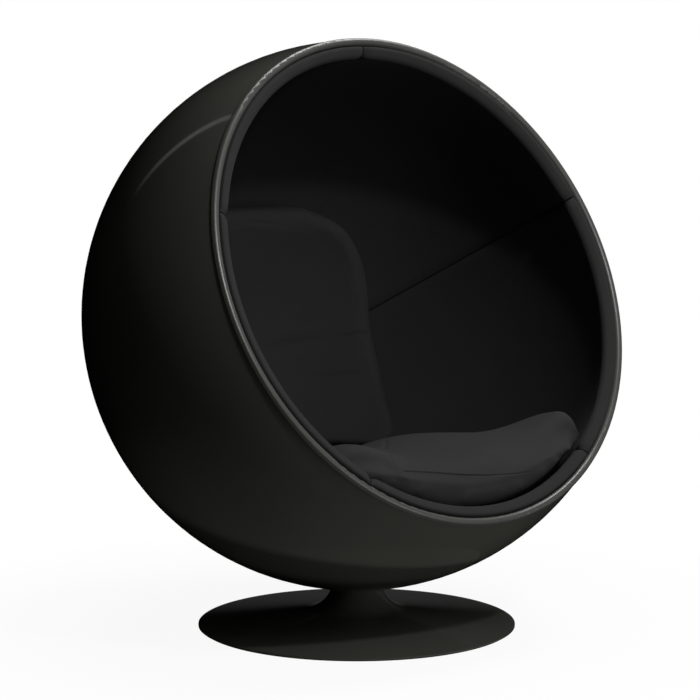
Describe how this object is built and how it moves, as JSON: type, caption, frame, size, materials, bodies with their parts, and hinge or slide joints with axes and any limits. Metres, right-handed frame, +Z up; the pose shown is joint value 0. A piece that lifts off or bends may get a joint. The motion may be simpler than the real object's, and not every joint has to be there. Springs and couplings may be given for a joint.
{
  "type": "pod chair",
  "caption": "Ball-shaped lounge chair with a round tilted opening, a padded lining, loose seat and back cushions and a trumpet base that it swivels on.",
  "frame": {"origin": "the point where the swivel axis meets the floor, at the middle of the underside of the base", "axes": "+Z up along the swivel axis, -Y the way the chair faces at rest, +X to the sitter's left"},
  "size_m": [1.0998, 0.9694, 1.1844],
  "materials": {
    "shell_gloss": "gloss",
    "trim_rubber": "satin",
    "lining_fabric": "matte",
    "cushion_fabric": "matte",
    "base_paint": "gloss",
    "floor_rubber": "matte",
    "steel": "satin",
    "bronze": "satin"
  },
  "bodies": {
    "base": {"pedestal": "base_paint", "floor_pad": "floor_rubber", "ballast_plate": "steel", "column_tube": "steel", "clamp_disc": "steel", "ring_nut": "steel", "upper_bush": "bronze", "lower_bush": "bronze", "lower_race": "steel", "bearing_balls": "steel", "ball_cage": "bronze"},
    "pod": {"shell": "shell_gloss", "edge_trim": "trim_rubber", "lining_upper_right": "lining_fabric", "lining_lower_right": "lining_fabric", "lining_bottom": "lining_fabric", "lining_lower_left": "lining_fabric", "lining_upper_left": "lining_fabric", "seat_cushion": "cushion_fabric", "back_cushion": "cushion_fabric", "backing_plate": "steel", "bolt_washers": "steel", "flange_bolts": "steel", "swivel_flange": "steel", "upper_race": "steel", "spindle": "steel", "retaining_washer": "steel", "retaining_nut": "steel"}
  },
  "joints": [
    {"name": "swivel", "type": "hinge", "parent": "base", "child": "pod", "pos_m": [0, 0, 0], "axis": [0, 0, 1], "continuous": true}
  ]
}
